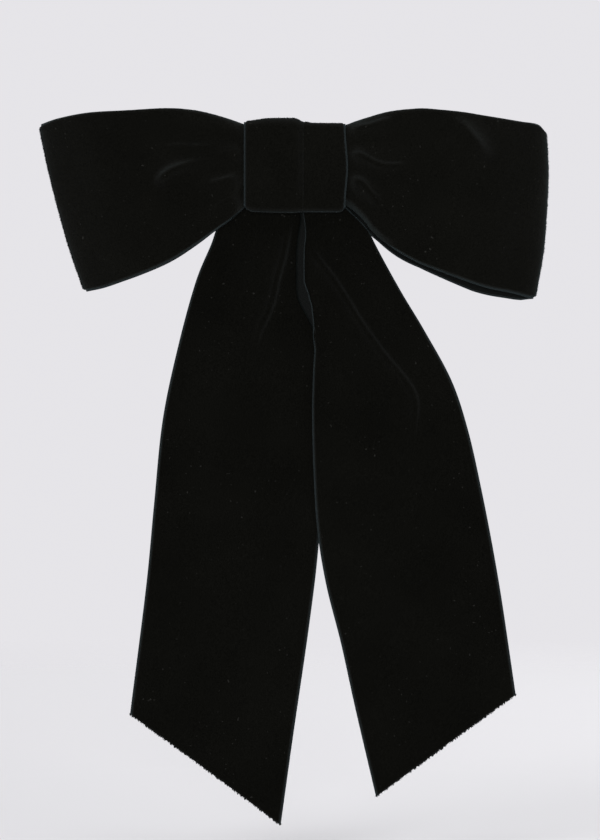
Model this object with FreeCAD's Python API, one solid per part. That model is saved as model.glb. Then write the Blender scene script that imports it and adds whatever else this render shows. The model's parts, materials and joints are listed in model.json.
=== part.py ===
"""Velvet hair bow on a spring barrette.

Two loops of wide velvet ribbon are gathered at the middle and bound with thread. A pleated band of the
same ribbon wraps that middle as the knot. A second ribbon is folded over behind the knot and hangs as
two slant-cut tails, the right one in front. The base plate of a curved barrette is glued behind the
fold. A clasp arm turns on a pin at one end of the plate and is held at the other by a two-pronged latch
with finger tabs.

Frame: millimetres, +Z up, -Y towards someone looking at the front of the bow, +X to that person's
right. The origin is the centre of the channel between the tension bar and the clasp arm, where the
hair is held.
"""

import FreeCAD, Part
import math
import os

from FreeCAD import Vector

# ---------------------------------------------------------------- ribbon
RIBBON_T = 1.2            # velvet ribbon, backing and pile together
SIDE_SAMPLES = 20         # points that carry each face of a bent ribbon

# ---------------------------------------------------------------- knot band
KNOT_HALF_X = 19.0        # the band covers 38 mm of the bow's width
KNOT_HALF_Z = 16.2
KNOT_Y = (-24.0, -14.6)
KNOT_FRONT_R = 4.5
KNOT_BACK_R = 3.0
PLEAT_X = (-11.5, 2.8)    # the knife pleat lies on top of the band between these
PLEAT_BACK_Y = -18.0
FLAP_Z = (-8.0, 6.5)      # the band's end, lapped over its start at the back
FLAP_BACK_Y = -13.45
BAND_STITCHES = 7
STITCH_R = 0.28
STITCH_LENGTH = 2.2
STITCH_PITCH = 4.5

# ---------------------------------------------------------------- gathered middle of the loops
BUNDLE_HALF_X = 18.0
BUNDLE_HALF_Z = 14.8
BUNDLE_Y = (-22.6, -16.0)
BUNDLE_R = 3.2
THREAD_D = 0.6
THREAD_GAP = 0.1          # clear space round the thread
THREAD_TURNS = 5
THREAD_PITCH = 1.0
WAIST_HALF_X = 2.8        # the thread pulls the middle in over this half-width

# ---------------------------------------------------------------- loops, seen from the front (x, z)
LOOP_ROOT_X = 19.6
LOOP_LEFT_TOP = [(-19.6, 13.8), (-31.7, 18.5), (-48.4, 20.6), (-76.2, 19.3), (-97.0, 15.2)]
LOOP_LEFT_BOTTOM = [(-19.6, -15.2), (-24.3, -20.8), (-37.2, -30.0), (-57.6, -40.8), (-83.0, -48.4)]
LOOP_LEFT_FOLD = [(-95.3, 21.0), (-93.0, 0.0), (-86.6, -24.0), (-77.6, -48.0)]
LOOP_RIGHT_TOP = [(19.6, 13.8), (35.0, 19.3), (47.0, 20.5), (72.0, 17.8), (97.0, 13.0)]
LOOP_RIGHT_BOTTOM = [(19.6, -15.2), (29.5, -26.0), (42.4, -36.9), (64.7, -45.8), (92.0, -50.6)]
LOOP_RIGHT_FOLD = [(93.2, 21.0), (94.0, 0.0), (93.3, -24.0), (89.6, -51.0)]
# plan of a loop: share of the way from root to fold, and y
LOOP_FRONT_PLAN = [(0.0, -20.4), (0.22, -22.6), (0.56, -22.4), (0.86, -19.4)]
LOOP_TIP_PLAN = (1.0, -15.6)
LOOP_BACK_PLAN = [(0.88, -12.2), (0.56, -11.6), (0.22, -14.0), (0.0, -17.6)]

# ---------------------------------------------------------------- tails
FOLD_HALF_X = 15.0        # the tail ribbon is folded over behind the knot
FOLD_Z = (-8.0, 11.0)     # straight part of the fold's two plies
# how the left tail's ply hangs below the fold, seen from the side (y, z)
TAIL_HANG = [(-9.9, -8.0), (-9.2, -22.0), (-7.6, -36.0), (-7.2, -60.0), (-8.4, -110.0), (-9.4, -160.0),
             (-8.4, -210.0), (-9.4, -255.0)]
TAIL_LIFT = 2.4           # the right tail lies this far in front of the left one
# edges seen from the front (x, z)
TAIL_LEFT_OUTER = [(-15.0, -8.0), (-20.0, -18.2), (-30.2, -29.3), (-39.8, -53.4), (-48.4, -94.1),
                   (-53.9, -142.3), (-60.8, -202.5)]
TAIL_LEFT_INNER = [(-5.4, -245.0), (2.9, -186.8), (8.7, -140.5), (12.5, -95.0), (13.5, -50.0), (15.0, -8.0)]
TAIL_RIGHT_OUTER = [(15.0, -8.0), (19.5, -18.2), (27.6, -27.4), (48.0, -60.8), (62.8, -97.8),
                    (72.8, -142.3), (81.2, -195.0)]
TAIL_RIGHT_INNER = [(29.8, -233.0), (18.3, -177.5), (8.9, -135.0), (6.3, -88.0), (6.5, -52.3),
                    (3.4, -18.2), (-14.0, -8.0)]
TAIL_LEFT_BEND_Z = -35.0  # above these heights the tails are held by the fold, below them they swing
TAIL_RIGHT_BEND_Z = -32.0
TAIL_BEND_GAP = 0.4

# ---------------------------------------------------------------- glue
KNOT_GLUE_HALF_X = 12.0
KNOT_GLUE_Z = (-7.0, 1.0)
CLIP_GLUE_HALF_X = 14.0
CLIP_GLUE_HALF_Z = 4.0
GLUE_GAP = 0.05

# ---------------------------------------------------------------- barrette base plate
SHEET_T = 0.8             # steel strip of the base plate and clasp arm
PLATE_HALF_X = 42.0
PLATE_HALF_Z = 4.5
PLATE_CORNER_R = 2.0
ARC_HALF_X = 31.5         # the plate is curved between these and flat at its ends
PLATE_MID_Y = -7.6        # hair-side face at the middle
PAD_Y = -4.45             # hair-side face of the flat ends
SEW_HOLE_X = 33.5
SEW_HOLE_R = 0.8

# ---------------------------------------------------------------- hinge
PIN_X = -39.5
PIN_Y = 4.1
PIN_R = 0.7
PIN_HEAD_R = 1.3
PIN_HEAD_T = 0.5
EAR_Z = (3.5, 4.3)
EAR_HALF_X = 2.4
EAR_R = 2.1
EAR_HOLE_R = 0.75
KNUCKLE_R = 1.7
KNUCKLE_BORE_R = 0.76
KNUCKLE_HALF_Z = 3.1

# ---------------------------------------------------------------- clasp arm
ARM_FRONT_Y = 2.2         # face that presses the hair, at the middle
ARM_SAGITTA = 1.5
ARM_ARC_HALF_X = 35.0
ARM_HALF_Z = 3.0
ARM_HEAD_HALF_Z = 4.2
ARM_HEAD_X = (34.5, 42.0)
ARM_LIP_T = 0.7
ARM_LIP_H = 1.6
ARM_RIB_HALF_X = 30.0
ARM_RIB_HALF_Z = 1.0
ARM_RIB_H = 0.5
WINDOW_X = (36.2, 39.8)
WINDOW_HALF_Z = 2.6

# ---------------------------------------------------------------- tension bar and its staples
BAR_HALF_X = 31.5
BAR_HALF_Z = 2.5
BAR_T = 0.5
BAR_BACK_Y = -2.2
BAR_SAGITTA = 0.8
BAR_TIP_H = 1.0
STAPLE_X = (28.6, 30.8)
STAPLE_Z = (2.75, 3.35)
STAPLE_T = 0.6
STAPLE_Y = -2.8

# ---------------------------------------------------------------- latch
LATCH_X = 38.0
BRIDGE_HALF_X = 2.3
BRIDGE_HALF_Z = 1.8
BRIDGE_T = 0.6
RIVET_R = 0.75
RIVET_HOLE_R = 0.8
RIVET_HEAD_R = 1.3
RIVET_HEAD_T = 0.45
PRONG_T = 0.6
PRONG_HALF_X = 1.3
PRONG_Z = 1.9             # inner face of a prong's leg
PRONG_TIP_Y = 5.8
BARB_Y = 4.65             # the barb stands just behind the closed arm
BARB_OUT = 0.05
PRONG_FLOOR = 0.1         # gap under the part of a prong that rocks
TAB_Z = 5.2
TAB_TOP_Y = 3.6
TAB_FLARE = 1.0
TAB_HALF_X = 3.5
TAB_FOOT_Y = -1.2         # the tab is full width above this


def spline(points, ends=None):
    """A smooth curve through all the points. ends is its direction at both ends, if that matters."""
    curve = Part.BSplineCurve()
    points = [Vector(*p) for p in points]
    if ends is None:
        curve.interpolate(points)
    else:
        curve.interpolate(Points=points, InitialTangent=ends, FinalTangent=ends)
    return curve


def in_xz(points):
    return [(a, 0.0, b) for a, b in points]


def sheet_wire(centre, axis):
    """Closed outline of a ribbon seen along its width, bent along centre. axis is that width."""
    first = centre.FirstParameter
    step = (centre.LastParameter - first) / SIDE_SAMPLES
    one, other = [], []
    for i in range(SIDE_SAMPLES + 1):
        here = centre.value(first + i * step)
        across = centre.tangent(first + i * step)[0].cross(axis).normalize() * (RIBBON_T / 2)
        one.append(here + across)
        other.append(here - across)
    other.reverse()
    sides = [spline(one).toShape(), spline(other).toShape()]
    ends = [Part.makeLine(one[-1], other[0]), Part.makeLine(other[-1], one[0])]
    return Part.Wire([sides[0], ends[0], sides[1], ends[1]])


def slab(outline, depth):
    """A face outline in the XZ plane, run from -depth to +depth in y."""
    face = Part.Face(outline)
    face.translate(Vector(0, -depth, 0))
    return face.extrude(Vector(0, 2 * depth, 0))


def box(x, y, z):
    """A block between pairs of limits."""
    return Part.makeBox(x[1] - x[0], y[1] - y[0], z[1] - z[0], Vector(x[0], y[0], z[0]))


def cylinder_y(radius, y, x, z=0.0):
    return Part.makeCylinder(radius, y[1] - y[0], Vector(x, y[0], z), Vector(0, 1, 0))


def cylinder_x(radius, x, y, z):
    return Part.makeCylinder(radius, x[1] - x[0], Vector(x[0], y, z), Vector(1, 0, 0))


def cylinder_z(radius, z, x, y):
    return Part.makeCylinder(radius, z[1] - z[0], Vector(x, y, z[0]), Vector(0, 0, 1))


def both(limit):
    return (-limit, limit)


def rounded(corners, radii, half_x):
    """A prism along X whose section is a polygon of (y, z) corners, each with its own radius."""
    ring = [Vector(-half_x, y, z) for y, z in corners]
    solid = Part.Face(Part.makePolygon(ring + ring[:1])).extrude(Vector(2 * half_x, 0, 0))
    for corner, radius in zip(ring, radii):
        edges = [e for e in solid.Edges if is_along_x_at(e, corner)]
        solid = solid.makeFillet(radius, edges)
    return solid


def is_along_x_at(edge, corner):
    ends = [v.Point for v in edge.Vertexes]
    return len(ends) == 2 and all(
        abs(p.y - corner.y) < 1e-6 and abs(p.z - corner.z) < 1e-6 for p in ends)


def knot_core(grow, half_x):
    """The knot's section grown outwards, as a prism."""
    front, back = KNOT_Y[0] - grow, KNOT_Y[1] + grow
    high = KNOT_HALF_Z + grow
    corners = [(front, high), (front, -high), (back, -high), (back, high)]
    radii = [KNOT_FRONT_R + grow] * 2 + [KNOT_BACK_R + grow] * 2
    return rounded(corners, radii, half_x)


def bundle_core(shrink, half_x):
    """The gathered ribbon's section, drawn in by shrink, as a prism."""
    front, back = BUNDLE_Y[0] + shrink, BUNDLE_Y[1] - shrink
    high = BUNDLE_HALF_Z - shrink
    corners = [(front, high), (front, -high), (back, -high), (back, high)]
    return rounded(corners, [BUNDLE_R - shrink] * 4, half_x)


def knot_band():
    """The wrapped band with its knife pleat and the lapped end at the back."""
    band = knot_core(0.0, KNOT_HALF_X)
    pleat = knot_core(RIBBON_T, KNOT_HALF_X)
    pleat = pleat.common(box(PLEAT_X, (KNOT_Y[0] - 5, PLEAT_BACK_Y), both(30)))
    flap = box(both(KNOT_HALF_X), (KNOT_Y[1] - RIBBON_T / 2, FLAP_BACK_Y), FLAP_Z)
    return band.fuse([pleat, flap]).cut(knot_core(-RIBBON_T, KNOT_HALF_X + 1)).removeSplitter()


def band_stitches():
    """Short stitches in a row across the lapped end."""
    middle = (BAND_STITCHES - 1) / 2
    top = FLAP_Z[1] - 0.4
    stitches = []
    for i in range(BAND_STITCHES):
        x = (i - middle) * STITCH_PITCH
        stitch = cylinder_z(STITCH_R, (top - STITCH_LENGTH, top), x, FLAP_BACK_Y)
        stitches.append(stitch.common(box((x - 1, x + 1), (FLAP_BACK_Y, 0), both(30))))
    return Part.makeCompound(stitches)


def loop_centre():
    """The gathered middle of the loops, drawn in at the waist where the thread winds."""
    outside = bundle_core(-1.0, WAIST_HALF_X)
    waist = outside.cut(bundle_core(THREAD_D + 2 * THREAD_GAP, WAIST_HALF_X + 1))
    return bundle_core(0.0, BUNDLE_HALF_X).cut(waist)


def binding_thread():
    """Turns of thread side by side round the waist."""
    turns = []
    for i in range(THREAD_TURNS):
        turn = bundle_core(THREAD_GAP, THREAD_D / 2)
        turn = turn.cut(bundle_core(THREAD_GAP + THREAD_D, THREAD_D))
        turn.translate(Vector((i - (THREAD_TURNS - 1) / 2) * THREAD_PITCH, 0, 0))
        turns.append(turn)
    return Part.makeCompound(turns)


def arc_strip(half_x, middle_y, end_y, thickness, half_z):
    """A strip bent to an arc, from its hair-side face towards the bow (thickness < 0) or away from it."""
    ends = [Vector(-half_x, end_y, -half_z), Vector(half_x, end_y, -half_z)]
    near = Part.Arc(ends[0], Vector(0, middle_y, -half_z), ends[1]).toShape()
    shift = Vector(0, thickness, 0)
    far = Part.Arc(ends[1] + shift, Vector(0, middle_y + thickness, -half_z), ends[0] + shift).toShape()
    sides = [Part.makeLine(ends[1], ends[1] + shift), Part.makeLine(ends[0] + shift, ends[0])]
    face = Part.Face(Part.Wire([near, sides[0], far, sides[1]]))
    return face.extrude(Vector(0, 0, 2 * half_z))


def plate_face_y(x):
    """y of the curved base plate's hair-side face at x."""
    rise = PAD_Y - PLATE_MID_Y
    radius = (ARC_HALF_X ** 2 + rise ** 2) / (2 * rise)
    return PLATE_MID_Y + radius - math.sqrt(radius ** 2 - x ** 2)


def base_plate():
    """Curved steel plate with flat ends, hinge ears, bar staples, sewing holes and a rivet hole."""
    plate = arc_strip(ARC_HALF_X, PLATE_MID_Y, PAD_Y, -SHEET_T, PLATE_HALF_Z)
    pad_y = (PAD_Y - SHEET_T, PAD_Y)
    for side in (-1, 1):
        x = sorted((side * ARC_HALF_X, side * PLATE_HALF_X))
        pad = box(x, pad_y, both(PLATE_HALF_Z))
        corners = [e for e in pad.Edges if is_outer_corner(e, side * PLATE_HALF_X)]
        plate = plate.fuse(pad.makeFillet(PLATE_CORNER_R, corners))
        plate = plate.fuse(staple(side))
        plate = plate.fuse(hinge_ear(side))
    for x, radius in ((-SEW_HOLE_X, SEW_HOLE_R), (SEW_HOLE_X, SEW_HOLE_R), (LATCH_X, RIVET_HOLE_R)):
        plate = plate.cut(cylinder_y(radius, (PAD_Y - 2, PAD_Y + 1), x))
    return plate.removeSplitter()


def is_outer_corner(edge, x):
    ends = [v.Point for v in edge.Vertexes]
    return all(abs(p.x - x) < 1e-6 for p in ends) and abs(ends[0].y - ends[1].y) > 0.1


def staple(side):
    """A bridge over one end of the tension bar, standing on the curved plate."""
    x = sorted((side * STAPLE_X[0], side * STAPLE_X[1]))
    outer = box(x, (plate_face_y(STAPLE_X[0]) - SHEET_T / 2, STAPLE_Y + STAPLE_T), both(STAPLE_Z[1]))
    opening = box((x[0] - 1, x[1] + 1), (-20, STAPLE_Y), both(STAPLE_Z[0]))
    return outer.cut(opening)


def hinge_ear(side):
    """One of the two ears that carry the pin, at the left end of the plate."""
    z = sorted((side * EAR_Z[0], side * EAR_Z[1]))
    ear = box((PIN_X - EAR_HALF_X, PIN_X + EAR_HALF_X), (PAD_Y - SHEET_T, PAD_Y + 2), z)
    web = box((PIN_X - EAR_R, PIN_X + EAR_R), (PAD_Y, PIN_Y), z)
    eye = cylinder_z(EAR_R, z, PIN_X, PIN_Y)
    return ear.fuse([web, eye]).cut(cylinder_z(EAR_HOLE_R, (z[0] - 1, z[1] + 1), PIN_X, PIN_Y))


def hinge_pin():
    """Pin with a flattened head outside each ear."""
    head_z = EAR_Z[1] + 0.02
    pin = cylinder_z(PIN_R, both(head_z + PIN_HEAD_T), PIN_X, PIN_Y)
    for z in ((head_z, head_z + PIN_HEAD_T), (-head_z - PIN_HEAD_T, -head_z)):
        pin = pin.fuse(cylinder_z(PIN_HEAD_R, z, PIN_X, PIN_Y))
    return pin.removeSplitter()


def clasp_arm():
    """The closing arm: knuckle, bowed strip with a rib, and a wider head with the latch window."""
    end_y = ARM_FRONT_Y + ARM_SAGITTA
    y = (end_y, end_y + SHEET_T)
    arm = arc_strip(ARM_ARC_HALF_X, ARM_FRONT_Y, end_y, SHEET_T, ARM_HALF_Z)
    rib_end = ARM_FRONT_Y + ARM_SAGITTA * (ARM_RIB_HALF_X / ARM_ARC_HALF_X) ** 2
    rib = arc_strip(ARM_RIB_HALF_X, ARM_FRONT_Y + SHEET_T / 2, rib_end + SHEET_T / 2,
                    SHEET_T / 2 + ARM_RIB_H, ARM_RIB_HALF_Z)
    head = box(ARM_HEAD_X, y, both(ARM_HEAD_HALF_Z))
    lip = box((ARM_HEAD_X[1] - ARM_LIP_T, ARM_HEAD_X[1]), (end_y, end_y + SHEET_T + ARM_LIP_H),
              both(ARM_HEAD_HALF_Z - 0.6))
    neck = box((PIN_X, -ARM_ARC_HALF_X), y, both(ARM_HALF_Z))
    knuckle = cylinder_z(KNUCKLE_R, both(KNUCKLE_HALF_Z), PIN_X, PIN_Y)
    arm = arm.fuse([rib, head, lip, neck, knuckle])
    arm = arm.cut(box(WINDOW_X, (0, 9), both(WINDOW_HALF_Z)))
    return arm.cut(cylinder_z(KNUCKLE_BORE_R, both(9), PIN_X, PIN_Y)).removeSplitter()


def tension_bar():
    """Spring strip bowed towards the arm, its tips turned up outside the staples."""
    end_y = BAR_BACK_Y - BAR_SAGITTA
    bar = arc_strip(BAR_HALF_X, BAR_BACK_Y, end_y, -BAR_T, BAR_HALF_Z)
    for side in (-1, 1):
        x = sorted((side * BAR_HALF_X, side * (BAR_HALF_X - BAR_T)))
        bar = bar.fuse(box(x, (end_y - BAR_T, end_y + BAR_TIP_H), both(BAR_HALF_Z)))
    return bar.removeSplitter()


def latch_bridge():
    """The plate that carries the latch, riveted to the flat end of the base plate."""
    x = (LATCH_X - BRIDGE_HALF_X, LATCH_X + BRIDGE_HALF_X)
    plate = box(x, (PAD_Y, PAD_Y + BRIDGE_T), both(BRIDGE_HALF_Z))
    return plate.cut(cylinder_y(RIVET_HOLE_R, (PAD_Y - 1, PAD_Y + 2), LATCH_X))


def latch_rivet():
    low, high = PAD_Y - SHEET_T, PAD_Y + BRIDGE_T
    rivet = cylinder_y(RIVET_R, (low - RIVET_HEAD_T, high + RIVET_HEAD_T), LATCH_X)
    for y in ((low - RIVET_HEAD_T, low), (high, high + RIVET_HEAD_T)):
        rivet = rivet.fuse(cylinder_y(RIVET_HEAD_R, y, LATCH_X))
    return rivet.removeSplitter()


def latch_prong(side):
    """One rocking half of the latch: a barbed leg through the window and a finger tab outside the arm."""
    foot = (PAD_Y + PRONG_FLOOR, PAD_Y + PRONG_FLOOR + PRONG_T)
    narrow = (LATCH_X - PRONG_HALF_X, LATCH_X + PRONG_HALF_X)
    base = box(narrow, foot, (PRONG_Z, TAB_Z + PRONG_T))
    leg_out = PRONG_Z + PRONG_T
    barb = [(foot[0], PRONG_Z), (foot[0], leg_out), (BARB_Y, leg_out), (BARB_Y, leg_out + BARB_OUT),
            (PRONG_TIP_Y, PRONG_Z + PRONG_T / 2), (PRONG_TIP_Y, PRONG_Z)]
    leg = prism_x(barb, narrow)
    tab = [(foot[0], TAB_Z), (foot[0], TAB_Z + PRONG_T), (0.0, TAB_Z + PRONG_T),
           (TAB_TOP_Y, TAB_Z + PRONG_T + TAB_FLARE), (TAB_TOP_Y, TAB_Z + TAB_FLARE), (0.0, TAB_Z)]
    wide = (LATCH_X - TAB_HALF_X, LATCH_X + TAB_HALF_X)
    stem = prism_x(tab, narrow)
    pad = prism_x(tab, wide).common(box(wide, (TAB_FOOT_Y, TAB_TOP_Y), (0, 20)))
    prong = base.fuse([leg, stem, pad]).removeSplitter()
    if side > 0:
        return prong
    return prong.mirror(Vector(0, 0, 0), Vector(0, 0, 1))


def prism_x(corners, x):
    ring = [Vector(x[0], y, z) for y, z in corners]
    return Part.Face(Part.makePolygon(ring + ring[:1])).extrude(Vector(x[1] - x[0], 0, 0))


def clip_glue():
    """Hot-melt between the fold of the tails and the curved front of the base plate."""
    front = fold_y()[1] + GLUE_GAP
    end = plate_face_y(CLIP_GLUE_HALF_X) - SHEET_T - GLUE_GAP
    middle = PLATE_MID_Y - SHEET_T - GLUE_GAP
    half_x, low = CLIP_GLUE_HALF_X, -CLIP_GLUE_HALF_Z
    left, right = Vector(-half_x, end, low), Vector(half_x, end, low)
    arc = Part.Arc(left, Vector(0, middle, low), right).toShape()
    ring = [right, Vector(half_x, front, low), Vector(-half_x, front, low), left]
    lines = [Part.makeLine(*pair) for pair in zip(ring, ring[1:])]
    return Part.Face(Part.Wire([arc] + lines)).extrude(Vector(0, 0, 2 * CLIP_GLUE_HALF_Z))


def knot_glue():
    """Hot-melt between the lapped end of the knot band and the fold of the tails."""
    return box(both(KNOT_GLUE_HALF_X), (FLAP_BACK_Y + GLUE_GAP, fold_y()[0] - GLUE_GAP), KNOT_GLUE_Z)


def loop(root_x, top, bottom, fold):
    """A loop of ribbon, open above and below: front ply, fold and back ply, trimmed to its outline."""
    sections = [sheet_wire(spline(loop_plan(root_x, x, z)), Vector(0, 0, 1)) for x, z in fold]
    sheet = Part.makeLoft(sections, True)
    upper, lower = spline(in_xz(top)), spline(in_xz(bottom))
    far = Part.makeLine(upper.EndPoint, lower.EndPoint)
    near = Part.makeLine(lower.StartPoint, upper.StartPoint)
    outline = Part.Wire([upper.toShape(), far, lower.toShape(), near])
    return sheet.common(slab(outline, 60))


def loop_plan(root_x, fold_x, z):
    """The loop's centreline at height z, from the root round the fold and back."""
    reach = fold_x - root_x
    plan = LOOP_FRONT_PLAN + [LOOP_TIP_PLAN] + LOOP_BACK_PLAN
    return [(root_x + share * reach, y, z) for share, y in plan]


def fold_y():
    """Front and back faces of the folded tail ribbon behind the knot."""
    back_ply = TAIL_HANG[0][0]
    return back_ply - TAIL_LIFT - RIBBON_T / 2, back_ply + RIBBON_T / 2


def tail_sheet(outer, inner, lift):
    """One ply of the tail ribbon below the fold, trimmed to its edges. lift brings it forward."""
    centre = spline([(-100, y - lift, z) for y, z in TAIL_HANG], Vector(0, 0, -1))
    sheet = Part.Face(sheet_wire(centre, Vector(1, 0, 0))).extrude(Vector(200, 0, 0))
    outer_edge, inner_edge = spline(in_xz(outer)), spline(in_xz(inner))
    cut = Part.makeLine(outer_edge.EndPoint, inner_edge.StartPoint)
    top = Part.makeLine(inner_edge.EndPoint, outer_edge.StartPoint)
    outline = Part.Wire([outer_edge.toShape(), cut, inner_edge.toShape(), top])
    return sheet.common(slab(outline, 60))


def tail_left_sheet():
    return tail_sheet(TAIL_LEFT_OUTER, TAIL_LEFT_INNER, 0.0)


def tail_right_sheet():
    return tail_sheet(TAIL_RIGHT_OUTER, TAIL_RIGHT_INNER, TAIL_LIFT)


def below(z):
    return box(both(100), (-60, 20), (-300, z))


def tail_left():
    return tail_left_sheet().common(below(TAIL_LEFT_BEND_Z))


def tail_right():
    return tail_right_sheet().common(below(TAIL_RIGHT_BEND_Z))


def tail_centre():
    """The tail ribbon folded over behind the knot, down to where each tail starts to swing."""
    front, back = fold_y()
    middle = (front + back) / 2
    outer_r = (back - front) / 2
    inner_r = outer_r - RIBBON_T
    fold = box(both(FOLD_HALF_X), (front, back), FOLD_Z)
    fold = fold.fuse(cylinder_x(outer_r, both(FOLD_HALF_X), middle, FOLD_Z[1]))
    fold = fold.cut(box(both(FOLD_HALF_X), (middle - inner_r, middle + inner_r), FOLD_Z))
    fold = fold.cut(cylinder_x(inner_r, both(FOLD_HALF_X), middle, FOLD_Z[1]))
    left = tail_left_sheet().cut(below(TAIL_LEFT_BEND_Z + TAIL_BEND_GAP))
    right = tail_right_sheet().cut(below(TAIL_RIGHT_BEND_Z + TAIL_BEND_GAP))
    return fold.fuse([left, right]).removeSplitter()


PARTS = {
    "base_plate": base_plate,
    "hinge_pin": hinge_pin,
    "clasp_arm": clasp_arm,
    "tension_bar": tension_bar,
    "latch_bridge": latch_bridge,
    "latch_rivet": latch_rivet,
    "latch_prong_upper": lambda: latch_prong(1),
    "latch_prong_lower": lambda: latch_prong(-1),
    "knot_band": knot_band,
    "band_stitches": band_stitches,
    "binding_thread": binding_thread,
    "loop_centre": loop_centre,
    "tail_centre": tail_centre,
    "knot_glue": knot_glue,
    "clip_glue": clip_glue,
    "loop_left": lambda: loop(-LOOP_ROOT_X, LOOP_LEFT_TOP, LOOP_LEFT_BOTTOM, LOOP_LEFT_FOLD),
    "loop_right": lambda: loop(LOOP_ROOT_X, LOOP_RIGHT_TOP, LOOP_RIGHT_BOTTOM, LOOP_RIGHT_FOLD),
    "tail_left": tail_left,
    "tail_right": tail_right,
}

os.makedirs("parts", exist_ok=True)
for name, make in PARTS.items():
    shape = make()
    if not shape.isValid() or not shape.Solids:
        raise RuntimeError(f"{name} isn't a valid solid")
    shape.exportStep(f"parts/{name}.step")
    print(f"{name}: {len(shape.Solids)} solid(s), {shape.Volume:.1f} mm3")
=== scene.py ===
"""Looks of the velvet hair bow: ribbons, gathers and finishes round the CAD frame.

Lengths are millimetres along the CAD frame's axes, x to the right, y away from the viewer and z up.
MM turns them into the frame's metres. The lamps, the floor, the camera's distance and the depth of bumps
are in metres.
"""
import json
import math

import bpy
import numpy as np
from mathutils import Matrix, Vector


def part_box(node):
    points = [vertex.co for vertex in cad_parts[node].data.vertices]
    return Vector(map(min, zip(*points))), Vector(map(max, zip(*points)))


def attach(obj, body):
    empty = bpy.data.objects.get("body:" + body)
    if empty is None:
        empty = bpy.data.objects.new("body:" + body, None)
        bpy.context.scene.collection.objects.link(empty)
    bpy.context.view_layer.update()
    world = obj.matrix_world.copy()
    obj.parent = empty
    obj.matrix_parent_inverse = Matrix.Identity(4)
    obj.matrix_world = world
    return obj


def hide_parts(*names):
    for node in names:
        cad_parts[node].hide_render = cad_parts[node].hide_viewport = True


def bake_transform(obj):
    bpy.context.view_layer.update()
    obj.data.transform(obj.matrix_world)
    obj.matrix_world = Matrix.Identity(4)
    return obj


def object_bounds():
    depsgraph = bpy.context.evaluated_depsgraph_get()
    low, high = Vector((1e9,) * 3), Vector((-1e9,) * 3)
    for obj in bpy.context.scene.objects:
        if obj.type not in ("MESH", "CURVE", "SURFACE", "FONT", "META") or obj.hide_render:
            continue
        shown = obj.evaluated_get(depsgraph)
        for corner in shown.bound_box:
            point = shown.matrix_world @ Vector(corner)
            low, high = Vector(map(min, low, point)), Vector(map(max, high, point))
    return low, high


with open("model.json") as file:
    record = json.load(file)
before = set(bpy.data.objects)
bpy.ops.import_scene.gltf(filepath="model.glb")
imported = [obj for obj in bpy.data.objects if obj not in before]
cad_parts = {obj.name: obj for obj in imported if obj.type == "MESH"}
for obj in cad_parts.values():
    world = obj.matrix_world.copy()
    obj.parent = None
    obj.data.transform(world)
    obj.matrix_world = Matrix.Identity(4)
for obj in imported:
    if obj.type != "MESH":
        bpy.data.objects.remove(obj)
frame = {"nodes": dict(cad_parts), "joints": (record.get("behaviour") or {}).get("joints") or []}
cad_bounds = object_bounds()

DRAWN_WIDTH = 190.24     # width of the bow that the outlines below are drawn for
MM = (cad_bounds[1].x - cad_bounds[0].x) / DRAWN_WIDTH
ROOT = "clip_base"

RIBBON_W = 63.0
PILE = 0.8               # height of the velvet pile
GROUND = 0.22            # thickness of the woven ground under it
LIP = 0.65               # width of the flat woven selvedge
VELVET, SELVEDGE, SATIN, TIPS = 0, 1, 2, 3


def box(node):
    """A CAD node's lowest and highest corners."""
    low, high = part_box(node)
    return np.array(low) / MM, np.array(high) / MM


def pivot(name):
    """Where a joint turns."""
    joint = next(j for j in frame["joints"] if j["name"] == name)
    return np.array(joint["pos_m"]) / MM


# ---------------------------------------------------------------- curves and fields
def smooth_path(points, count=200):
    """Points evenly spaced along a smooth curve through the given ones."""
    p = np.array(points, float)
    padded = np.vstack([2 * p[0] - p[1], p, 2 * p[-1] - p[-2]])
    t = np.linspace(0, 1, 24, endpoint=False)[:, None]
    dense = []
    for a, b, c, d in zip(padded, padded[1:], padded[2:], padded[3:]):
        bend, twist = 2 * a - 5 * b + 4 * c - d, 3 * b - a - 3 * c + d
        dense.append((2 * b + (c - a) * t + bend * t ** 2 + twist * t ** 3) / 2)
    return at_share(np.vstack(dense + [p[-1:]]), np.linspace(0, 1, count))


def at_share(path, share):
    """Points at shares of a path's length."""
    step = np.linalg.norm(np.diff(path, axis=0), axis=1)
    along = np.concatenate([[0], np.cumsum(step)]) / step.sum()
    return np.stack([np.interp(share, along, path[:, k]) for k in range(path.shape[1])], axis=-1)


def smoothstep(x, low, high):
    t = np.clip((x - low) / (high - low), 0, 1)
    return t * t * (3 - 2 * t)


def distance_to(path, x, z):
    """Signed distance in the XZ plane from a path, and the share of it at the nearest point."""
    best = np.full(x.shape, 1e9)
    signed, share = np.zeros(x.shape), np.zeros(x.shape)
    count = len(path) - 1
    for i, (a, b) in enumerate(zip(path, path[1:])):
        d = b - a
        t = np.clip(((x - a[0]) * d[0] + (z - a[1]) * d[1]) / (d @ d), 0, 1)
        dx, dz = x - a[0] - t * d[0], z - a[1] - t * d[1]
        dist = np.hypot(dx, dz)
        nearer = dist < best
        best = np.where(nearer, dist, best)
        signed = np.where(nearer, dist * np.sign(d[0] * dz - d[1] * dx), signed)
        share = np.where(nearer, (i + t) / count, share)
    return signed, share


CREASE_TOP = 0.35        # how softly a crease's ridge is rounded
GENTLE_SIDE = 2.6        # how many times wider a crease's gently sloping side is than its steep one
PLANE_WAVES = 7


def crease(x, z, points, height, width, fade):
    """A fold line: steep on one side, sloping gently on the other, fading at both ends."""
    signed, share = distance_to(smooth_path(points, 30), x, z)
    side = np.where(signed > 0, width, width * GENTLE_SIDE)
    ends = smoothstep(share, 0, fade[0]) * (1 - smoothstep(share, 1 - fade[1], 1))
    return height * ends * np.exp((CREASE_TOP - np.hypot(signed, CREASE_TOP)) / side)


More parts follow.
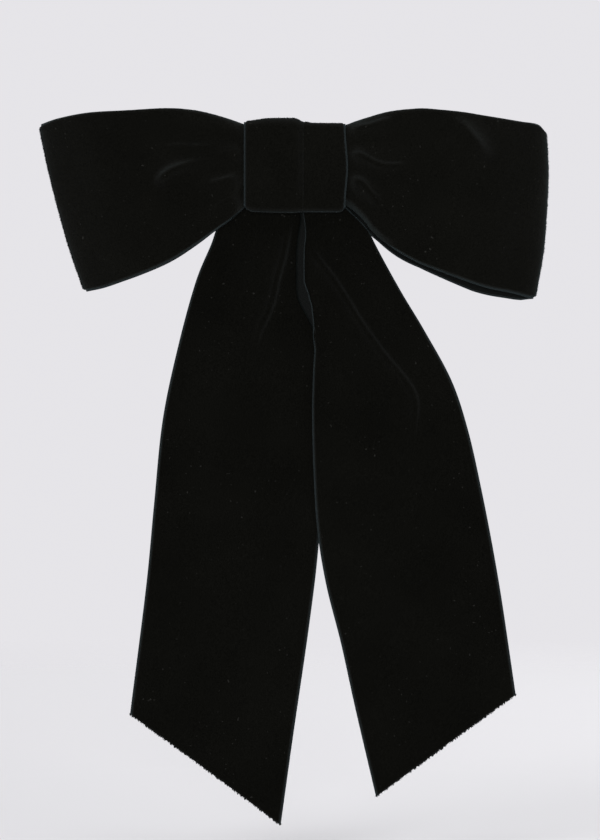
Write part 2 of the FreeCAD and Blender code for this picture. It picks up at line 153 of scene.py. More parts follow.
def waves(x, z, seed, size, height):
    """Slow unevenness of cloth, as a sum of a few plane waves."""
    rng = np.random.default_rng(seed)
    total = np.zeros(x.shape)
    for _ in range(PLANE_WAVES):
        angle, phase = rng.uniform(0, math.tau, 2)
        length = size * rng.uniform(0.7, 1.8)
        total += np.sin((x * math.cos(angle) + z * math.sin(angle)) * math.tau / length + phase)
    return height * total / PLANE_WAVES


def rolled_back(inset, height, radius, angle, strip):
    """How an edge that is bent back moves: towards the edge's line, and backwards.
    inset is the distance from the edge, height the whole width, strip the straight part past the bend."""
    bend = radius * angle
    past = bend + strip - inset
    turn = np.clip(past / radius, 0, angle)
    beyond = np.clip(past - bend, 0, None)
    reach = np.where(past > 0, radius * np.sin(turn) + beyond * np.cos(angle), past)
    shift = inset - radius * np.sin(angle) - strip * np.cos(angle) + reach
    fade = 1 - np.clip(-past / (height - bend - strip), 0, 1)
    return shift * fade, radius * (1 - np.cos(turn)) + beyond * np.sin(angle)


# ---------------------------------------------------------------- meshes
def add_object(name, verts, faces, kinds, materials):
    mesh = bpy.data.meshes.new(name)
    mesh.from_pydata((verts * MM).tolist(), [], faces)
    mesh.polygons.foreach_set("material_index", np.array(kinds, np.int32))
    mesh.polygons.foreach_set("use_smooth", np.ones(len(faces), bool))
    for material in materials:
        mesh.materials.append(material)
    piece = bpy.data.objects.new(name, mesh)
    bpy.context.scene.collection.objects.link(piece)
    return piece


# a ribbon's first columns, as distances from its edge: over the selvedge, then up the side of the pile
EDGE_COLUMNS = np.array([0.0, LIP * 0.5, LIP, LIP + 0.2, LIP + 0.45, LIP + 0.9])


def columns(width, spacing):
    """Distances across a ribbon from one edge: fine at the selvedges, even between them."""
    edge = EDGE_COLUMNS[:-1]
    inner = np.linspace(EDGE_COLUMNS[-1], width - EDGE_COLUMNS[-1], max(3, int(width / spacing)))
    return np.concatenate([edge, inner, width - edge[::-1]])


def pile_profile(across, width):
    """Height of the pile across a ribbon: none on the selvedges, full just inside them."""
    inside = np.minimum(across, width - across)
    return GROUND * 0.5 + PILE * smoothstep(inside, LIP - 0.05, LIP + 0.5)


def normals_of(grid):
    n = np.cross(np.gradient(grid, axis=0), np.gradient(grid, axis=1))
    return n / np.maximum(np.linalg.norm(n, axis=-1, keepdims=True), 1e-9)


def tufts(roots, directions, length, radius, rng):
    """Short tapering tufts of pile as closed four-sided spikes, as vertices, quads and triangles."""
    count = len(roots)
    directions = directions / np.linalg.norm(directions, axis=1, keepdims=True)
    helper = np.where(np.abs(directions[:, 2:]) < 0.8, [[0.0, 0.0, 1.0]], [[1.0, 0.0, 0.0]])
    u = np.cross(directions, helper)
    u /= np.linalg.norm(u, axis=1, keepdims=True)
    v = np.cross(directions, u)
    spin = rng.uniform(0, math.tau, (count, 1))
    reach = directions * rng.uniform(*length, (count, 1))
    rings = []
    for share, size in ((0.0, 1.0), (0.65, 0.7)):
        for k in range(4):
            angle = spin + k * math.tau / 4
            rings.append(roots + reach * share + (u * np.cos(angle) + v * np.sin(angle)) * radius * size)
    verts = np.stack(rings + [roots + reach], axis=1).reshape(-1, 3)
    sides = [(3, 2, 1, 0)] + [(k, (k + 1) % 4, 4 + (k + 1) % 4, 4 + k) for k in range(4)]
    caps = [(4 + k, 4 + (k + 1) % 4, 8) for k in range(4)]
    base = np.arange(count)[:, None, None] * 9
    return verts, (base + np.array(sides)).reshape(-1, 4), (base + np.array(caps)).reshape(-1, 3)


def ribbon(name, grid, across, finish, pile=1.0, rough=0.02, seed=1, fuzz=None):
    """A ribbon as a closed mesh: grid is its ground, row by row, with the pile on the normal's side.
    fuzz, given the pile's surface and its normals, returns groups of tufts."""
    rows, cols = grid.shape[:2]
    width = across[-1]
    n = normals_of(grid)
    rng = np.random.default_rng(seed)
    profile = pile_profile(across, width) * pile
    height = profile[None, :] + rng.normal(0, rough, (rows, cols)) * (profile[None, :] > GROUND)
    front = grid + n * height[..., None]
    back = grid - n * GROUND * 0.5
    index = np.arange(rows * cols).reshape(rows, cols)
    a, b, c, d = index[:-1, :-1], index[1:, :-1], index[1:, 1:], index[:-1, 1:]
    middle = (across[:-1] + across[1:]) / 2
    on_lip = np.tile(np.minimum(middle, width - middle) < LIP, rows - 1)
    ring = np.concatenate([index[:-1, 0], index[-1, :-1], index[:0:-1, -1], index[0, :0:-1]])
    following = np.roll(ring, -1)
    under = rows * cols
    faces = [np.stack([a, b, c, d], -1).reshape(-1, 4), np.stack([d, c, b, a], -1).reshape(-1, 4) + under,
             np.stack([following, ring, ring + under, following + under], -1)]
    kinds = [np.where(on_lip, SELVEDGE, VELVET), np.where(on_lip, SELVEDGE, SATIN),
             np.where(ring % cols == following % cols, SELVEDGE, VELVET)]
    verts = [front.reshape(-1, 3), back.reshape(-1, 3)]
    faces, kinds, total = np.concatenate(faces).tolist(), np.concatenate(kinds).tolist(), 2 * under
    for group in (fuzz(front, n, rng) if fuzz else []):
        spikes, quads, triangles = tufts(*group, rng)
        verts.append(spikes)
        faces += (quads + total).tolist() + (triangles + total).tolist()
        kinds += [TIPS] * (len(quads) + len(triangles))
        total += len(spikes)
    piece = add_object(name, np.concatenate(verts), faces, kinds, finish)
    lay_out_uv(piece.data, grid, across)
    return piece


def lay_out_uv(mesh, grid, across):
    """UV in centimetres: u along the ribbon, v across it."""
    rows, cols = grid.shape[:2]
    step = np.linalg.norm(np.diff(grid[:, cols // 2], axis=0), axis=1)
    u = np.repeat(np.concatenate([[0], np.cumsum(step)]), cols)
    uv = np.zeros((len(mesh.vertices), 2))
    uv[:2 * rows * cols] = np.tile(np.stack([u, np.tile(across, rows)], -1), (2, 1)) / 10
    corner = np.zeros(len(mesh.loops), np.int32)
    mesh.loops.foreach_get("vertex_index", corner)
    mesh.uv_layers.new(name="UVMap").data.foreach_set("uv", uv[corner].astype(np.float32).ravel())


# ---------------------------------------------------------------- standing pile
RIM_TURNED = 0.25        # a surface counts as turned away where its normal's y is smaller than this
RIM_SUNK = 0.15          # how deep a rim tuft's root sits in the pile
RIM_RADIUS = 0.07
RIM_LEAN = 0.35


def rim_fuzz(count, length):
    """Pile that stands out where the surface turns away from the front."""
    def choose(front, normals, rng):
        edge_on = np.abs(normals[:-1, :-1, 1]) < RIM_TURNED
        border = len(EDGE_COLUMNS) - 1
        edge_on[:, :border] = False
        edge_on[:, -border:] = False
        cells = np.argwhere(edge_on)
        i, j = cells[rng.integers(len(cells), size=count)].T
        a, b = rng.uniform(0, 1, (2, count, 1))
        upper = front[i, j] * (1 - b) + front[i, j + 1] * b
        lower = front[i + 1, j] * (1 - b) + front[i + 1, j + 1] * b
        outward = normals[i, j]
        roots = upper * (1 - a) + lower * a - outward * RIM_SUNK
        return [(roots, outward + rng.normal(0, RIM_LEAN, roots.shape), length, RIM_RADIUS)]
    return choose


# clumps of pile and ground threads, then loose ends: count, length, radius, how far they lean
CUT_TUFTS = ((130, (0.5, 1.15), 0.34, 0.25), (420, (0.4, 1.2), 0.08, 0.5))
CUT_UNDER = 0.45         # how far their roots sit under the pile's surface
CUT_BEHIND = 0.3         # and how far behind the cut


def cut_fuzz(front, normals, rng):
    """Tufts along the slant cut at a tail's end."""
    edge = front[-1]
    outward = front[-1] - front[-3]
    outward /= np.linalg.norm(outward, axis=1, keepdims=True)
    groups = []
    for count, length, radius, lean in CUT_TUFTS:
        at = rng.uniform(0, len(edge) - 1.001, count)
        j = at.astype(int)
        share = (at - j)[:, None]
        roots = edge[j] * (1 - share) + edge[j + 1] * share
        roots = roots - normals[-1][j] * CUT_UNDER - outward[j] * CUT_BEHIND
        groups.append((roots, outward[j] + rng.normal(0, lean, roots.shape), length, radius))
    return groups


# ---------------------------------------------------------------- cloth
CLOTH_SCALE = 0.01       # the cloth is simulated at ten times its size, where Blender's springs behave
CLOTH_FRAMES = 26
CLOTH_CAP = 1.3          # no point moves further than this
CLOTH_SIDEWAYS = 0.4     # share of the movement kept in the outline's plane
FREE_HOLD = 0.02         # how firmly free cloth keeps its drawn shape, where pinned cloth has 1


def settled(grid, surplus, hold, every):
    """The grid after a cloth simulation. Each row is wider by its surplus than its space, so it buckles.
    hold is how firmly each row is pinned; every is how many rows and columns one cloth cell spans."""
    rows = np.unique(np.append(np.arange(0, grid.shape[0], every[0]), grid.shape[0] - 1))
    cols = np.unique(np.append(np.arange(0, grid.shape[1], every[1]), grid.shape[1] - 1))
    start = grid[np.ix_(rows, cols)]
    centre = start.mean(axis=1, keepdims=True)
    rest = centre + (start - centre) * (1 + surplus[rows][:, None, None])
    end = run_cloth(start, rest, hold[rows])
    by_row = spread(end - start, rows, grid.shape[0])
    move = spread(by_row.swapaxes(0, 1), cols, grid.shape[1]).swapaxes(0, 1)
    move[..., 0] *= CLOTH_SIDEWAYS
    move[..., 2] *= CLOTH_SIDEWAYS
    size = np.linalg.norm(move, axis=-1, keepdims=True)
    return grid + move * CLOTH_CAP * np.tanh(size / CLOTH_CAP) / np.maximum(size, 1e-6)


def spread(values, places, count):
    """Values known at some rows, blended smoothly over all of them."""
    gap = places[1] - places[0]
    weight = np.exp(-((np.arange(count)[:, None] - places[None, :]) / (0.8 * gap)) ** 2)
    return np.tensordot(weight / weight.sum(axis=1, keepdims=True), values, 1)


def run_cloth(start, rest, hold):
    """Simulate a sheet from its start towards its rest shape, without gravity."""
    rows, cols = start.shape[:2]
    index = np.arange(rows * cols).reshape(rows, cols)
    faces = np.stack([index[:-1, :-1], index[1:, :-1], index[1:, 1:], index[:-1, 1:]], -1).reshape(-1, 4)
    mesh = bpy.data.meshes.new("cloth_sheet")
    mesh.from_pydata((start * CLOTH_SCALE).reshape(-1, 3).tolist(), [], faces.tolist())
    sheet = bpy.data.objects.new("cloth_sheet", mesh)
    bpy.context.scene.collection.objects.link(sheet)
    sheet.shape_key_add(name="Basis")
    rest_key = sheet.shape_key_add(name="rest")
    rest_key.data.foreach_set("co", (rest * CLOTH_SCALE).ravel())
    pins = sheet.vertex_groups.new(name="pins")
    for row, weight in enumerate(hold):
        pins.add(index[row].tolist(), float(weight), "REPLACE")
    cloth = sheet.modifiers.new("cloth", "CLOTH")
    cloth.settings.vertex_group_mass = "pins"
    cloth.settings.rest_shape_key = rest_key
    cloth.settings.quality = 8
    cloth.settings.mass = 0.4
    cloth.settings.bending_stiffness = 6.0
    cloth.settings.air_damping = 2.0
    cloth.settings.effector_weights.gravity = 0.0
    cloth.collision_settings.use_collision = False
    scene = bpy.context.scene
    for step in range(1, CLOTH_FRAMES + 1):
        scene.frame_set(step)
    result = np.zeros(rows * cols * 3, np.float32)
    sheet.evaluated_get(bpy.context.evaluated_depsgraph_get()).data.vertices.foreach_get("co", result)
    bpy.data.objects.remove(sheet, do_unlink=True)
    scene.frame_set(1)
    return result.reshape(rows, cols, 3) / CLOTH_SCALE


# ---------------------------------------------------------------- materials
def new_material(name):
    material = bpy.data.materials.new(name)
    material.use_nodes = True
    nodes = material.node_tree.nodes
    return material, nodes, material.node_tree.links, nodes["Principled BSDF"]


def add(nodes, kind, **settings):
    node = nodes.new(kind)
    for key, value in settings.items():
        if hasattr(node, key):
            setattr(node, key, value)
        else:
            node.inputs[key.replace("_", " ")].default_value = value
    return node


def noise_node(nodes, links, scale, detail=2.0):
    place = add(nodes, "ShaderNodeTexCoord")
    texture = add(nodes, "ShaderNodeTexNoise", Scale=scale, Detail=detail)
    links.new(place.outputs["Object"], texture.inputs["Vector"])
    return texture.outputs["Fac"]


def ramp_node(nodes, links, source, stops):
    ramp = nodes.new("ShaderNodeValToRGB")
    while len(ramp.color_ramp.elements) < len(stops):
        ramp.color_ramp.elements.new(0.5)
    for element, (place, colour) in zip(ramp.color_ramp.elements, stops):
        element.position = place
        element.color = (*colour, 1.0)
    links.new(source, ramp.inputs["Fac"])
    return ramp.outputs["Color"]


def multiply_node(nodes, links, a, b):
    mix = add(nodes, "ShaderNodeMix", data_type="RGBA", blend_type="MULTIPLY")
    mix.inputs["Factor"].default_value = 1.0
    links.new(a, mix.inputs["A"])
    links.new(b, mix.inputs["B"])
    return mix.outputs["Result"]


def bump_node(nodes, links, height, shader, strength, distance):
    bump = add(nodes, "ShaderNodeBump", Strength=strength, Distance=distance)
    links.new(height, bump.inputs["Height"])
    links.new(bump.outputs["Normal"], shader.inputs["Normal"])
    return bump.outputs["Normal"]


def grey(value):
    return (value, value, value)


def bands_node(nodes, links, across, pitch):
    """Fine ribs or rows along or across the ribbon, their pitch in millimetres."""
    place = add(nodes, "ShaderNodeTexCoord")
    wave = add(nodes, "ShaderNodeTexWave", bands_direction="Y" if across else "X")
    wave.inputs["Scale"].default_value = 5.0 / pitch
    wave.inputs["Distortion"].default_value = 0.6
    wave.inputs["Detail"].default_value = 1.0
    links.new(place.outputs["UV"], wave.inputs["Vector"])
    return wave.outputs["Fac"]


# painted sheen: the pile's colour from face-on (0) to edge-on (1), lighter and cooler as the surface turns
# from the view
VELVET_PAINTED_SHEEN = [
    (0.02, (0.0024, 0.0024, 0.0020)), (0.09, (0.0031, 0.0031, 0.0027)), (0.30, (0.0064, 0.0067, 0.0062)),
    (0.50, (0.0108, 0.0130, 0.0127)), (0.75, (0.0165, 0.0210, 0.0210)), (1.0, (0.0200, 0.0260, 0.0265))]
LINT = (0.011, 0.011, 0.010)
LINT_FROM, LINT_FULL = 0.825, 0.86       # a speck fades in between these values of its noise
# noise scales, per metre
CLUMP_SCALE = 2100       # clumps of pile
LAY_SCALE = 42           # broad patches where the pile leans another way
LINT_SCALE = 1100
PILE_ROW = 0.8           # pitch of the woven rows that the pile stands in
ROW_SHARE = 0.2          # how much of the pile's relief comes from those rows


def velvet_material(name, painted_light_scale, painted_sheen_scale):
    """Black pile: almost no light face-on, a cool painted sheen in its colour where the surface turns from
    the view, a little lint.
    One scale lightens all of it as painted light; the other scales how far the painted sheen brightens
    towards edge-on."""
    material, nodes, links, shader = new_material(name)
    clumps = noise_node(nodes, links, CLUMP_SCALE, 3.0)
    lay = noise_node(nodes, links, LAY_SCALE, 3.0)
    rows = bands_node(nodes, links, across=True, pitch=PILE_ROW)
    height = add(nodes, "ShaderNodeMix", data_type="FLOAT")
    height.inputs["Factor"].default_value = ROW_SHARE
    links.new(clumps, height.inputs["A"])
    links.new(rows, height.inputs["B"])
    normal = bump_node(nodes, links, height.outputs["Result"], shader, strength=0.35, distance=0.0003)
    turned = add(nodes, "ShaderNodeLayerWeight", Blend=0.5)
    links.new(normal, turned.inputs["Normal"])
    edge_on = add(nodes, "ShaderNodeMath", operation="MULTIPLY")
    edge_on.inputs[1].default_value = painted_sheen_scale
    links.new(turned.outputs["Facing"], edge_on.inputs[0])
    # painted sheen: the colour brightens as the surface turns edge-on to the view
    painted_sheen_colour = ramp_node(nodes, links, edge_on.outputs["Value"], VELVET_PAINTED_SHEEN)
    grain = ramp_node(nodes, links, clumps, [(0.3, grey(0.7)), (0.7, grey(1.3))])
    # random patches of tone, scaled by the lightening that paints more light onto the loops and the band
    patches = ramp_node(nodes, links, lay, [
        (0.3, grey(0.9 * painted_light_scale)), (0.7, grey(1.12 * painted_light_scale))])
    pile = multiply_node(nodes, links, multiply_node(nodes, links, painted_sheen_colour, grain), patches)
    specks = ramp_node(nodes, links, noise_node(nodes, links, LINT_SCALE, 0.0), [
        (LINT_FROM, grey(0)), (LINT_FULL, grey(1))])
    mixed = add(nodes, "ShaderNodeMix", data_type="RGBA")
    mixed.inputs["B"].default_value = (*LINT, 1.0)
    links.new(specks, mixed.inputs["Factor"])
    links.new(pile, mixed.inputs["A"])
    links.new(mixed.outputs["Result"], shader.inputs["Base Color"])
    shader.inputs["Sheen Weight"].default_value = 0.02
    shader.inputs["Sheen Roughness"].default_value = 0.25
    shader.inputs["Sheen Tint"].default_value = (0.62, 0.78, 0.84, 1.0)
    shader.inputs["Roughness"].default_value = 1.0
    shader.inputs["Specular IOR Level"].default_value = 0.0
    return material


def tip_material():
    """Single tufts of pile, seen against the light."""
    material, nodes, links, shader = new_material("pile_tips")
    colour = ramp_node(nodes, links, noise_node(nodes, links, 3000, 1.0), [
        (0.3, (0.006, 0.006, 0.0056)), (0.7, (0.014, 0.0155, 0.0155))])
    links.new(colour, shader.inputs["Base Color"])
    shader.inputs["Roughness"].default_value = 1.0
    shader.inputs["Specular IOR Level"].default_value = 0.0
    return material


def woven_material(name, dark, light, roughness, pitch):
    """Tight flat weave, for the selvedge and the ribbon's back, with painted sheen towards edge-on."""
    material, nodes, links, shader = new_material(name)
    cross = add(nodes, "ShaderNodeMath", operation="MULTIPLY")
    links.new(bands_node(nodes, links, across=True, pitch=pitch), cross.inputs[0])
    links.new(bands_node(nodes, links, across=False, pitch=pitch), cross.inputs[1])
    colour = ramp_node(nodes, links, cross.outputs["Value"], [(0.1, dark), (0.8, light)])
    turned = add(nodes, "ShaderNodeLayerWeight", Blend=0.5)
    # painted sheen: the weave's colour brightens as it turns edge-on to the view
    woven_painted_sheen = ramp_node(nodes, links, turned.outputs["Facing"], [(0.0, grey(0.8)), (0.6, grey(2.4))])
    links.new(multiply_node(nodes, links, colour, woven_painted_sheen), shader.inputs["Base Color"])
    shader.inputs["Roughness"].default_value = roughness
    shader.inputs["Specular IOR Level"].default_value = 0.04
    bump_node(nodes, links, cross.outputs["Value"], shader, strength=0.4, distance=0.0001)
    return material


def thread_material():
    """Twisted black thread."""
    material, nodes, links, shader = new_material("twisted_thread")
    place = add(nodes, "ShaderNodeTexCoord")
    twist = add(nodes, "ShaderNodeTexWave", bands_direction="DIAGONAL")
    twist.inputs["Scale"].default_value = 900
    links.new(place.outputs["Object"], twist.inputs["Vector"])
    colour = ramp_node(nodes, links, twist.outputs["Fac"], [(0.2, grey(0.006)), (0.8, grey(0.03))])
    links.new(colour, shader.inputs["Base Color"])
    shader.inputs["Roughness"].default_value = 0.6
    bump_node(nodes, links, twist.outputs["Fac"], shader, strength=0.6, distance=0.00015)
    return material


def glue_material():
    """Cloudy hot-melt with a soft gloss."""
    material, nodes, links, shader = new_material("hot_melt")
    cloud = noise_node(nodes, links, 260, 4.0)
    colour = ramp_node(nodes, links, cloud, [(0.3, (0.55, 0.50, 0.38)), (0.7, (0.80, 0.77, 0.66))])
    links.new(colour, shader.inputs["Base Color"])
    shader.inputs["Roughness"].default_value = 0.3
    shader.inputs["Subsurface Weight"].default_value = 0.4
    shader.inputs["Subsurface Scale"].default_value = 0.002
    bump_node(nodes, links, cloud, shader, strength=0.5, distance=0.0004)
    return material


DRAWN_LINES = (60, 2500, 2500)           # scale of the drawing lines along x, y and z, per metre


def steel_material(name, light, dark, roughness):
    """Nickel-plated spring steel: drawn lengthwise, with fine scratches and duller spots."""
    material, nodes, links, shader = new_material(name)
    place = add(nodes, "ShaderNodeTexCoord")
    stretch = add(nodes, "ShaderNodeMapping")
    stretch.inputs["Scale"].default_value = DRAWN_LINES
    links.new(place.outputs["Object"], stretch.inputs["Vector"])
    grain = add(nodes, "ShaderNodeTexNoise", Scale=1.0, Detail=3.0)
    links.new(stretch.outputs["Vector"], grain.inputs["Vector"])
    patches = noise_node(nodes, links, 140, 4.0)
    links.new(ramp_node(nodes, links, patches, [(0.35, dark), (0.6, light)]), shader.inputs["Base Color"])
    rough = ramp_node(nodes, links, patches, [(0.3, grey(roughness * 1.7)), (0.7, grey(roughness))])
    links.new(rough, shader.inputs["Roughness"])
    shader.inputs["Metallic"].default_value = 1.0
    bump_node(nodes, links, grain.outputs["Fac"], shader, strength=0.12, distance=0.00005)
    return material


WOVEN_AND_TIPS = [
    woven_material("selvedge", (0.0050, 0.0066, 0.0070), (0.0190, 0.0260, 0.0275), 0.7, 0.65),
    woven_material("ribbon_back", (0.0008, 0.0011, 0.0010), (0.0021, 0.0030, 0.0028), 0.6, 0.35),
    tip_material(),
]
# painted light: the loops and the band get lighter copies of the tails' velvet, for the little more light
# they catch where the nap runs along the ribbon, and the band a weaker painted sheen
TAIL_FINISH = [velvet_material("tail_velvet", painted_light_scale=1.0, painted_sheen_scale=1.0)] + WOVEN_AND_TIPS
LOOP_FINISH = [velvet_material("loop_velvet", painted_light_scale=1.14, painted_sheen_scale=1.0)] + WOVEN_AND_TIPS
BAND_FINISH = [velvet_material("band_velvet", painted_light_scale=1.18, painted_sheen_scale=0.6)] + WOVEN_AND_TIPS

# ---------------------------------------------------------------- loops
# top and bottom are the front ply's edges from the knot to the fold, as x and z; bow is how far the fold
# bulges outwards; back_drop is how much lower the back ply's edge hangs, as distance from the middle and
# drop; bevel is the width of the strip bent back along the lower edge; creases are a path, a height, a
# width, and the shares over which the two ends fade
LOOP_LEFT = {
    "top": [(-17.0, 14.0), (-19.5, 14.7), (-24.3, 16.3), (-31.7, 18.5), (-39.1, 20.0), (-48.4, 20.6),
            (-61.3, 20.0), (-76.2, 19.3), (-87.3, 17.6), (-94.3, 15.6)],
    "bottom": [(-17.0, -14.5), (-19.8, -16.0), (-24.3, -20.2), (-29.8, -24.4), (-37.2, -30.0),
               (-46.5, -35.9), (-57.6, -40.8), (-68.7, -44.7), (-77.4, -46.9)],
    "bow": 1.8,
    "back_drop": [(19.0, 0.0), (30.0, -0.8)],
    "bevel": 0.0,
    "creases": [
        ([(-52.5, -8.4), (-50.0, -6.0), (-45.9, -2.7), (-41.0, -0.7), (-36.1, 0.7), (-29.0, 2.2)],
         2.6, 1.4, (0.25, 0.75)),
        ([(-33.0, -7.6), (-27.0, -6.0), (-21.5, -4.5)], 0.7, 0.7, (0.3, 0.3)),
        ([(-50.0, 5.4), (-44.0, 6.6), (-36.0, 6.3), (-28.0, 7.0)], 0.5, 0.8, (0.3, 0.4)),
        ([(-34.0, -20.0), (-27.0, -14.5), (-20.0, -10.5)], 0.9, 1.6, (0.4, 0.3)),
    ],
    "seed": 4,
}
LOOP_RIGHT = {
    "top": [(17.0, 13.9), (19.5, 14.6), (25.8, 16.7), (35.0, 19.3), (44.3, 20.4), (49.8, 20.4),
            (61.0, 19.3), (72.1, 17.8), (83.2, 16.3), (89.6, 15.5), (92.4, 13.3)],
    "bottom": [(17.0, -13.6), (21.3, -15.8), (26.2, -20.8), (29.1, -24.7), (35.4, -30.4), (42.8, -35.1),
               (51.4, -38.8), (68.4, -44.8), (79.5, -47.1), (88.2, -48.7)],
    "bow": 2.2,
    "back_drop": [(18.0, 1.0), (21.0, 2.0), (27.0, 2.0), (31.0, 1.2), (38.0, 1.1), (46.0, 0.6),
                  (66.0, 2.0), (84.0, 1.8), (88.0, 0.8)],
    "bevel": 3.3,
    "creases": [
        ([(20.0, 3.8), (23.3, 3.8), (25.7, 2.6), (29.0, 0.7), (33.1, -0.5), (38.1, -0.5), (43.0, 0.2)],
         1.1, 0.75, (0.2, 0.3)),
        ([(20.0, -5.0), (22.5, -5.6), (24.9, -6.9), (26.6, -9.3), (29.0, -11.8), (30.7, -14.2),
          (32.8, -18.5)], 1.1, 0.95, (0.2, 0.4)),
        ([(52.5, 18.8), (60.3, 14.8), (65.6, 8.8), (69.8, 4.4), (73.6, 0.8)], 3.0, 2.9, (0.55, 0.45)),
        ([(19.5, 12.6), (23.5, 13.5), (27.4, 14.1), (32.3, 15.7), (38.0, 17.5)], 1.2, 0.8, (0.3, 0.4)),
    ],
    "seed": 3,
}
LOOP_REACH = 75.0        # how far a loop stands out from its root, for spacing its rows
# a loop's plan: share of the way from its root to the fold, and y
LOOP_PLAN = [(0.0, -22.0), (0.05, -23.1), (0.14, -24.2), (0.32, -25.0), (0.56, -25.0), (0.75, -23.4),
             (0.89, -20.5), (0.97, -18.2), (1.0, -16.4), (0.98, -14.9), (0.92, -13.3), (0.78, -11.8),
             (0.58, -11.3), (0.32, -12.3), (0.12, -14.0), (0.0, -15.6)]
LOOP_ROWS = 190
FOLD_SHARES = (0.44, 0.56)   # where along a loop's length its front ply turns into the back one
GATHER_REACH = 16.0      # the gathers die away over this distance from the knot
# gathers beside the knot: height, number across the ribbon, phase
FRONT_GATHERS = (0.5, 3.5, 0.6)
BACK_GATHERS = (1.2, 4, 1.0)
EDGE_ROLL = 1.2          # how far the edges of both plies lean inwards beside the knot
TOP_ROLL = (1.3, math.radians(80))
BEVEL_BEND = (0.9, math.radians(50))
BEVEL_X = (31.0, 40.0)   # the bevelled lower edge flattens out between these
LOOP_SURPLUS = 0.10      # how much wider than its space a loop's cloth is beside the knot


def gathers(t, height, count, phase):
    """Small even folds across a ribbon."""
    return height * np.sin(t * math.tau * count + phase)


def loop_grid(shape):
    """Ground of one loop: out along the front, round the fold and back, gathered at the knot."""
    across = columns(RIBBON_W, 0.5)
    stretch = np.array([LOOP_REACH, 1.0])
    plan = smooth_path(LOOP_PLAN, 400)
    share, y = (at_share(plan * stretch, np.linspace(0, 1, LOOP_ROWS)) / stretch).T
    on_back = smoothstep(np.linspace(0, 1, LOOP_ROWS), *FOLD_SHARES)[:, None]
    on_front = 1 - on_back
    top = at_share(smooth_path(shape["top"]), share)
    low = at_share(smooth_path(shape["bottom"]), share)
    low[:, 1] -= np.interp(np.abs(low[:, 0]), *zip(*shape["back_drop"])) * on_back[:, 0]
    t = (across / RIBBON_W)[None, :]
    side = math.copysign(1.0, shape["top"][-1][0])
    crown = 4 * t * (1 - t)
    x = low[:, :1] * (1 - t) + top[:, :1] * t + side * shape["bow"] * crown * share[:, None] ** 2
    height = (top - low)[:, 1:]
    z = low[:, 1:] + height * t
    up, top_back = rolled_back(height * (1 - t), height, TOP_ROLL[0], TOP_ROLL[1] * on_front, 0.0)
    bent = on_front * (1 - smoothstep(np.abs(low[:, :1]), *BEVEL_X))
    down, low_back = rolled_back(height * t, height, BEVEL_BEND[0], BEVEL_BEND[1] * bent,
                                 shape["bevel"])
    z = z + up - down
    out = np.clip(np.abs(x) - box("knot_band")[1][0], 0, None)
    near = np.exp(-out / GATHER_REACH)
    lift = near * (gathers(t, *FRONT_GATHERS) * on_front + gathers(t, *BACK_GATHERS) * on_back)
    for points, rise, width, fade in shape["creases"]:
        lift = lift + crease(x, z, points, rise, width, fade) * on_front
    # right beside the knot the ply lies flat, and the slow unevenness sets in further out
    lift = lift * smoothstep(out, 0.0, 4.0)
    lift = lift + waves(x, z, shape["seed"], size=38, height=0.5) * smoothstep(out, 0, 20)
    inward = EDGE_ROLL * near * (1 - crown) ** 1.5 * (on_front - on_back)
    heading = np.gradient(np.stack([(top[:, 0] + low[:, 0]) / 2, y], -1), axis=0)
    heading *= side / np.linalg.norm(heading, axis=1, keepdims=True)
    x = x + heading[:, 1:] * lift
    y = y[:, None] - heading[:, :1] * lift + inward + top_back + low_back
    return np.stack([x, y, z], -1), across


def make_loop(name, shape, node, joint):
    grid, across = loop_grid(shape)
    share = np.linspace(0, 1, LOOP_ROWS)
    from_knot = np.minimum(share, 1 - share)
    grid = settled(grid, surplus=LOOP_SURPLUS * (1 - smoothstep(from_knot, 0.05, 0.30)),
                   hold=np.where(from_knot < 0.035, 1.0, FREE_HOLD), every=(3, 3))
    hinge = pivot(joint)
    side = math.copysign(1.0, hinge[0])
    if side < 0:
        grid = grid[::-1]
    piece = ribbon(name, grid, across, LOOP_FINISH, seed=11, fuzz=rim_fuzz(3000, (0.3, 0.7)))
    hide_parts(node)
    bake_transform(piece)


# ---------------------------------------------------------------- tails
# outer and inner are a tail's edges from the top of the fold to the slant cut, as x and z; forward is how
# far it hangs in front of the left one; curl is how much of its width is curled over, as z and width
TAIL_LEFT = {
    "outer": [(-14.5, 12.8), (-16.5, -2.0), (-23.0, -13.0), (-28.6, -20.5), (-31.6, -28.5), (-37.3, -42.2),
              (-43.9, -66.3), (-49.7, -94.1), (-52.9, -125.6), (-55.9, -157.1), (-61.8, -203.9)],
    "inner": [(14.5, 12.8), (15.0, -8.0), (14.5, -30.0), (13.5, -60.0), (12.0, -95.0), (8.7, -140.5),
              (5.2, -170.3), (-0.9, -212.4), (-5.5, -245.2)],
    "creases": [
        ([(-1.6, -12.0), (-2.2, -19.1), (-4.3, -31.4), (-6.9, -40.8), (-8.4, -48.2), (-10.8, -55.0),
          (-13.7, -60.8), (-14.6, -66.5), (-14.8, -76.0)], 1.5, 0.8, (0.3, 0.35)),
        ([(-13.0, -10.0), (-17.0, -30.0), (-24.0, -55.0), (-28.0, -80.0)], 0.6, 2.6, (0.05, 0.6)),
    ],
    "forward": 0.0,
    "curl": [(0.0, 0.0)],
    "seed": 21,
}
